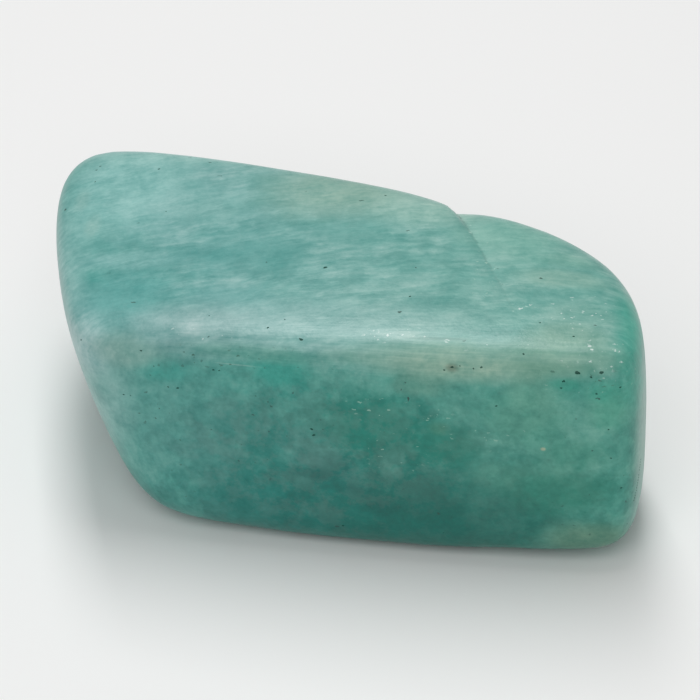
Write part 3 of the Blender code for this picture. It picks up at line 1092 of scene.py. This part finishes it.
class STONE_OT_make_stone(Operator):
    """Make the stone's polished skin"""

    bl_idname = "stone.make_stone"
    bl_label = "Make stone"

    def execute(self, context):
        settings = context.scene.stone_settings
        piece = new_object("tumbled_amazonite", solid_in_quads())
        places = pit_places()
        apply_tree(piece, skin_tree(), {
            "Skin levels": settings.skin_levels,
            "Ripple height": settings.ripple_height,
            "Ripple length": settings.ripple_length,
            "Pit density": settings.pit_density,
            "Seed": settings.seed,
            "Pit places": places,
            "Skin material": amazonite_material(settings)})
        bpy.data.objects.remove(places)
        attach(piece, ROOT_BODY)
        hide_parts(STONE_NODE)
        return {"FINISHED"}


def floor_material(settings):
    """Matt pale board."""
    material = bpy.data.materials.new("floor")
    material.use_nodes = True
    shader = material.node_tree.nodes["Principled BSDF"]
    shader.inputs["Base Color"].default_value = (*settings.floor_colour, 1.0)
    shader.inputs["Roughness"].default_value = 0.9
    return material


def make_floor(settings):
    """A round floor under the stone."""
    disc = bmesh.new()
    bmesh.ops.create_circle(disc, cap_ends=True, radius=settings.floor_reach, segments=96)
    mesh = bpy.data.meshes.new("floor")
    disc.to_mesh(mesh)
    disc.free()
    mesh.materials.append(floor_material(settings))
    new_object("floor", mesh)


class Softbox(NamedTuple):
    """One rectangular light. Its place and its sides are in millimetres."""

    place: Vector
    width: float
    depth: float


LIGHTS_AIMED_AT = Vector((0.0, 0.0, 7.0))
SOFTBOX_ABOVE = Softbox(Vector((-22.0, 90.0, 300.0)), 80.0, 260.0)
SOFTBOX_IN_FRONT = Softbox(Vector((-20.0, -200.0, 230.0)), 200.0, 200.0)


def make_softbox(name, softbox, power):
    """A rectangular light that is aimed at the stone."""
    data = bpy.data.lights.new(name, "AREA")
    data.shape = "RECTANGLE"
    data.size = softbox.width * MM
    data.size_y = softbox.depth * MM
    data.energy = power
    light = new_object(name, data)
    light.location = softbox.place * MM
    aim = LIGHTS_AIMED_AT * MM - light.location
    light.rotation_euler = aim.to_track_quat("-Z", "Y").to_euler()


def make_surroundings(settings):
    """Plain pale surroundings."""
    world = bpy.data.worlds.new("surroundings")
    world.use_nodes = True
    background = world.node_tree.nodes["Background"]
    background.inputs["Color"].default_value = (1.0, 1.0, 1.0, 1.0)
    background.inputs["Strength"].default_value = settings.surroundings
    bpy.context.scene.world = world


def make_camera():
    """The photograph's camera."""
    data = bpy.data.cameras.new("camera")
    data.sensor_width = SENSOR_WIDTH
    data.lens = VIEW_LENS
    data.clip_start = 1.0 * MM
    camera = new_object("camera", data)
    camera.location = (VIEW_TARGET + to_camera() * VIEW_DISTANCE) * MM
    camera.rotation_euler = to_camera().to_track_quat("Z", "Y").to_euler()
    bpy.context.scene.camera = camera


class STONE_OT_make_stage(Operator):
    """Make the floor, the lights, the surroundings and the camera"""

    bl_idname = "stone.make_stage"
    bl_label = "Make stage"

    def execute(self, context):
        settings = context.scene.stage_settings
        make_floor(settings)
        make_softbox("softbox above", SOFTBOX_ABOVE, settings.softbox_power)
        make_softbox("softbox in front", SOFTBOX_IN_FRONT, settings.front_power)
        make_surroundings(settings)
        make_camera()
        context.scene.view_settings.view_transform = "Standard"
        return {"FINISHED"}


class STONE_PT_panel(Panel):
    """Lists the makers of the stone and its stage"""

    bl_label = "Tumbled Amazonite"
    bl_idname = "STONE_PT_panel"
    bl_space_type = "VIEW_3D"
    bl_region_type = "UI"
    bl_category = "Stone"

    def draw(self, context):
        layout = self.layout
        for settings, operator in ((context.scene.stone_settings, STONE_OT_make_stone),
                                   (context.scene.stage_settings, STONE_OT_make_stage)):
            box = layout.box()
            for name in settings.__annotations__:
                box.prop(settings, name)
            box.operator(operator.bl_idname)


CLASSES = (StoneSettings, StageSettings, STONE_OT_make_stone, STONE_OT_make_stage,
           STONE_PT_panel)


def register():
    for item in CLASSES:
        bpy.utils.register_class(item)
    bpy.types.Scene.stone_settings = bpy.props.PointerProperty(type=StoneSettings)
    bpy.types.Scene.stage_settings = bpy.props.PointerProperty(type=StageSettings)


def unregister():
    del bpy.types.Scene.stage_settings
    del bpy.types.Scene.stone_settings
    for item in reversed(CLASSES):
        bpy.utils.unregister_class(item)


def main():
    """Build the stage and the stone."""
    register()
    bpy.ops.stone.make_stage()
    bpy.ops.stone.make_stone()


if __name__ == "__main__":
    main()
